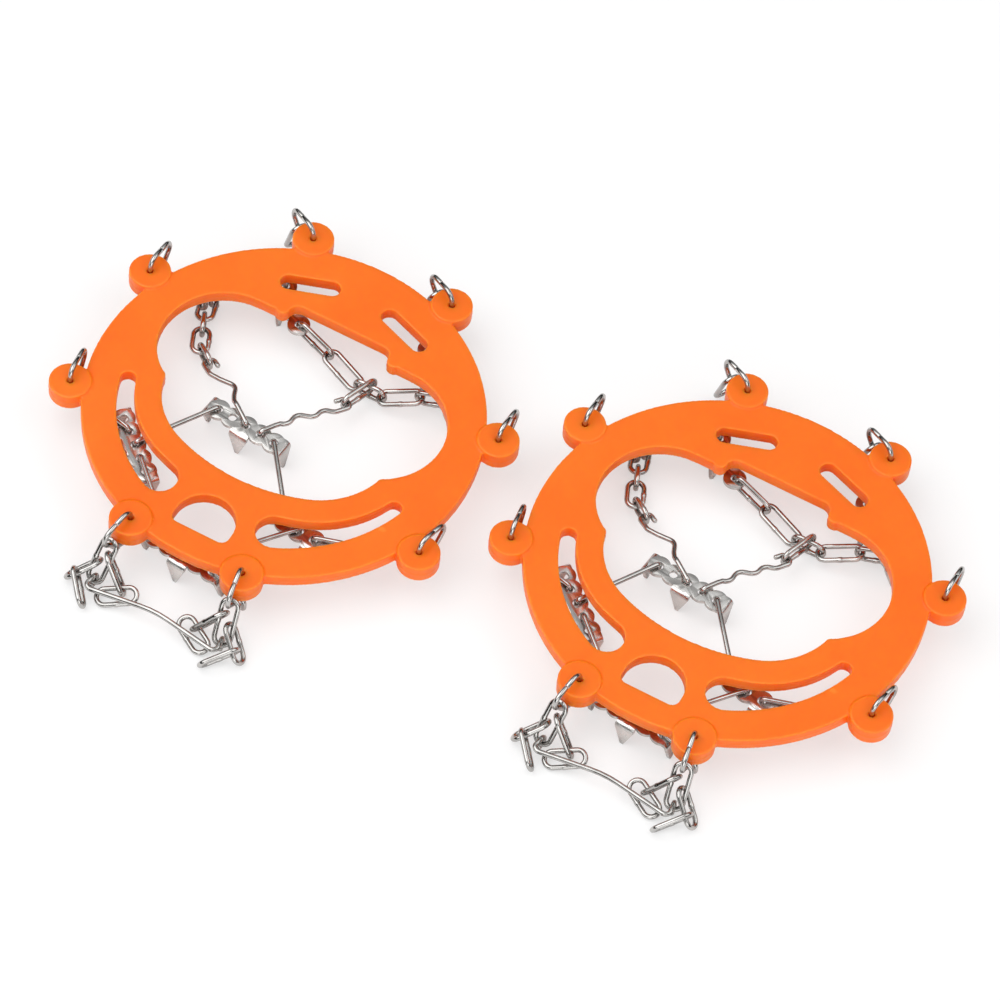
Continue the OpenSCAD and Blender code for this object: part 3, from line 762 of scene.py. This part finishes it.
def edge_knobs():
    """Four round knobs on the edge of the shoe opening."""
    knobs = []
    for x, y in KNOBS:
        for side in (-1, 1):
            at = (Vector((side * x, y, TAB_Z)) + CLEAT_AT["left"]) * MM
            bpy.ops.mesh.primitive_cylinder_add(
                vertices=64, radius=KNOB_R * MM, depth=BAND_T * MM, location=at)
            knobs.append(bpy.context.object)
    return knobs


def melted(piece, others):
    """Joins the others to a piece and makes them one skin with small soft edges."""
    only(piece)
    for other in others:
        other.select_set(True)
    bpy.ops.object.join()
    edit_all(piece)
    bpy.ops.mesh.normals_make_consistent(inside=False)
    edit_done()
    even = piece.modifiers.new("even", "REMESH")
    even.mode = "VOXEL"
    even.voxel_size = GRID * MM
    bpy.ops.object.modifier_apply(modifier="even")
    soften = piece.modifiers.new("soften", "SMOOTH")
    soften.factor = 0.5
    soften.iterations = SOFT_STEPS
    bpy.ops.object.modifier_apply(modifier="soften")


def mould_line(piece):
    """Raises the fine line that the two halves of the mould leave round the walls."""
    for v in piece.data.vertices:
        v.select = abs(v.co.z - TAB_Z * MM) < MOULD_LINE_H * MM and abs(v.normal.z) < 0.5
    bpy.ops.object.mode_set(mode="EDIT")
    bpy.ops.transform.shrink_fatten(value=MOULD_LINE_OUT * MM)
    bpy.ops.mesh.select_all(action="DESELECT")
    edit_done()


def moulded_harness():
    """The harness as one soft moulding: a flat band with upright walls, thick tabs and knobs."""
    piece = merged_copy("left_harness", "left_moulded_harness")
    flat_band(piece)
    melted(piece, tab_buttons() + edge_knobs())
    mould_line(piece)
    thin = piece.modifiers.new("thin", "DECIMATE")
    thin.ratio = FACES_KEPT
    bpy.ops.object.modifier_apply(modifier="thin")
    bpy.ops.object.shade_smooth()
    return piece


# stamped plates: angle of faces that count as flat, rounding, angle of edges it takes, angle of sharp edges
PLATE_FLAT = math.radians(3)
PLATE_ROUND = 0.20
PLATE_EDGE = math.radians(40)
PLATE_SHARP = math.radians(35)


def stamped_plate(name):
    """Plate with the rounded edges that stamping and tumbling leave."""
    piece = merged_copy("left_plate_" + name, "left_stamped_plate_" + name)
    edit_all(piece)
    bpy.ops.mesh.dissolve_limited(angle_limit=PLATE_FLAT)
    edit_done()
    round_off = piece.modifiers.new("round_off", "BEVEL")
    round_off.width = PLATE_ROUND * MM
    round_off.segments = 2
    round_off.limit_method = "ANGLE"
    round_off.angle_limit = PLATE_EDGE
    bpy.ops.object.modifier_apply(modifier="round_off")
    bpy.ops.object.shade_smooth_by_angle(angle=PLATE_SHARP)
    return piece


def fit_pair(piece, body, node, finish):
    """Fits a piece to the left cleat and its twin to the right one."""
    name = piece.name[len("left_"):]
    other = twin(piece, "right_" + name)
    fitted(piece, "left_" + body, "left_" + node, finish)
    fitted(other, "right_" + body, "right_" + node, finish)


fit_pair(moulded_harness(), "harness", "harness", ORANGE)
for name, line in WIRES.items():
    fit_pair(drawn_wire("left_bent_" + name, [line], NIPPED), name, name, WIRE_STEEL)
for name in TABS:
    fit_pair(bent_ring(name), "ring_" + name, "ring_" + name, WIRE_STEEL)
for name in PLATES:
    fit_pair(stamped_plate(name), "plate_" + name, "plate_" + name, PLATE_STEEL)
fit_pair(welded_links(), "harness", "chain_links", WIRE_STEEL)


# floor, light and camera: the floor's size in metres, its drop below the cleats and its lift for the camera

FLOOR_SIZE = 8.0
FLOOR_DROP = 0.2 * MM
FLOOR_LIFT = 0.55


def grey(value):
    return (value, value, value, 1)


def studio_floor():
    """White table: it keeps its shadows, lifted a little for the camera alone."""
    bpy.ops.object.select_all(action="DESELECT")
    bpy.ops.mesh.primitive_plane_add(size=FLOOR_SIZE, location=(0, 0, -FLOOR_DROP))
    floor = bpy.context.object
    floor.name = "studio_floor"
    finish, nodes, links, skin = new_finish("white_floor")
    skin.inputs["Base Color"].default_value = grey(0.93)
    skin.inputs["Roughness"].default_value = 0.9
    skin.inputs["Specular IOR Level"].default_value = 0.1
    glow = nodes.new("ShaderNodeEmission")
    path = nodes.new("ShaderNodeLightPath")
    mix = nodes.new("ShaderNodeMixShader")
    links.new(spread(nodes, links, path.outputs["Is Camera Ray"], 0, FLOOR_LIFT), mix.inputs["Fac"])
    links.new(skin.outputs["BSDF"], mix.inputs[1])
    links.new(glow.outputs["Emission"], mix.inputs[2])
    links.new(mix.outputs["Shader"], nodes["Material Output"].inputs["Surface"])
    floor.data.materials.append(finish)


def soft_lamp(name, at, size, watts):
    """Large soft lamp that points at the middle of the floor."""
    lamp = bpy.data.lights.new(name, "AREA")
    lamp.shape = "RECTANGLE"
    lamp.size, lamp.size_y = size
    lamp.energy = watts
    holder = bpy.data.objects.new(name, lamp)
    scene.collection.objects.link(holder)
    holder.location = at
    holder.rotation_euler = (-Vector(at)).to_track_quat("-Z", "Y").to_euler()


def studio_world():
    """Room that is white overhead and dark towards the horizon."""
    world = bpy.data.worlds.new("studio_room")
    scene.world = world
    world.use_nodes = True
    nodes, links = world.node_tree.nodes, world.node_tree.links
    room = nodes["Background"]
    way = nodes.new("ShaderNodeTexCoord")
    split = nodes.new("ShaderNodeSeparateXYZ")
    links.new(way.outputs["Generated"], split.inputs["Vector"])
    height = ramp(nodes, links, split.outputs["Z"], [
        (0.0, grey(0.02)), (0.35, grey(0.04)), (0.55, grey(0.35)), (0.75, grey(1.0)), (1.0, grey(1.0))])
    links.new(height, room.inputs["Color"])
    room.inputs["Strength"].default_value = 0.75


# camera: angles above, round and tilted, distance in metres, lens in picture widths, aim in millimetres
CAMERA_ANGLES = (54.9, 22.7, 7.13)
CAMERA_AWAY = 2.082
CAMERA_LENS = 5.471
CAMERA_AIM = (1.5, -6.8 - MID_Y, TAB_Z + TAB_T / 2)
PICTURE_W = 36


def photo_camera():
    """Camera that sees the pair as the photograph does."""
    elevation, azimuth, roll = (math.radians(angle) for angle in CAMERA_ANGLES)
    look = Vector(CAMERA_AIM) * MM
    flat = math.cos(elevation)
    back = Vector((math.sin(azimuth) * flat, -math.cos(azimuth) * flat, math.sin(elevation)))
    right = Vector((math.cos(azimuth), math.sin(azimuth), 0))
    up = back.cross(right)
    x_way = math.cos(roll) * right + math.sin(roll) * up
    y_way = -math.sin(roll) * right + math.cos(roll) * up
    lens = bpy.data.cameras.new("photo_camera")
    lens.sensor_width = PICTURE_W
    lens.lens = PICTURE_W * CAMERA_LENS
    lens.clip_start, lens.clip_end = 0.05, 50
    camera = bpy.data.objects.new("photo_camera", lens)
    scene.collection.objects.link(camera)
    turn = Matrix((x_way, y_way, back)).transposed().to_4x4()
    camera.matrix_world = Matrix.Translation(look + back * CAMERA_AWAY) @ turn
    scene.camera = camera


studio_floor()
studio_world()
soft_lamp("key_lamp", at=(-0.9, -0.6, 1.6), size=(2.2, 2.2), watts=27)
soft_lamp("fill_lamp", at=(1.2, 0.5, 1.3), size=(1.6, 1.6), watts=9)
soft_lamp("front_lamp", at=(0.8, -1.35, 0.55), size=(1.6, 0.9), watts=10)
photo_camera()
scene.view_settings.view_transform = "Standard"
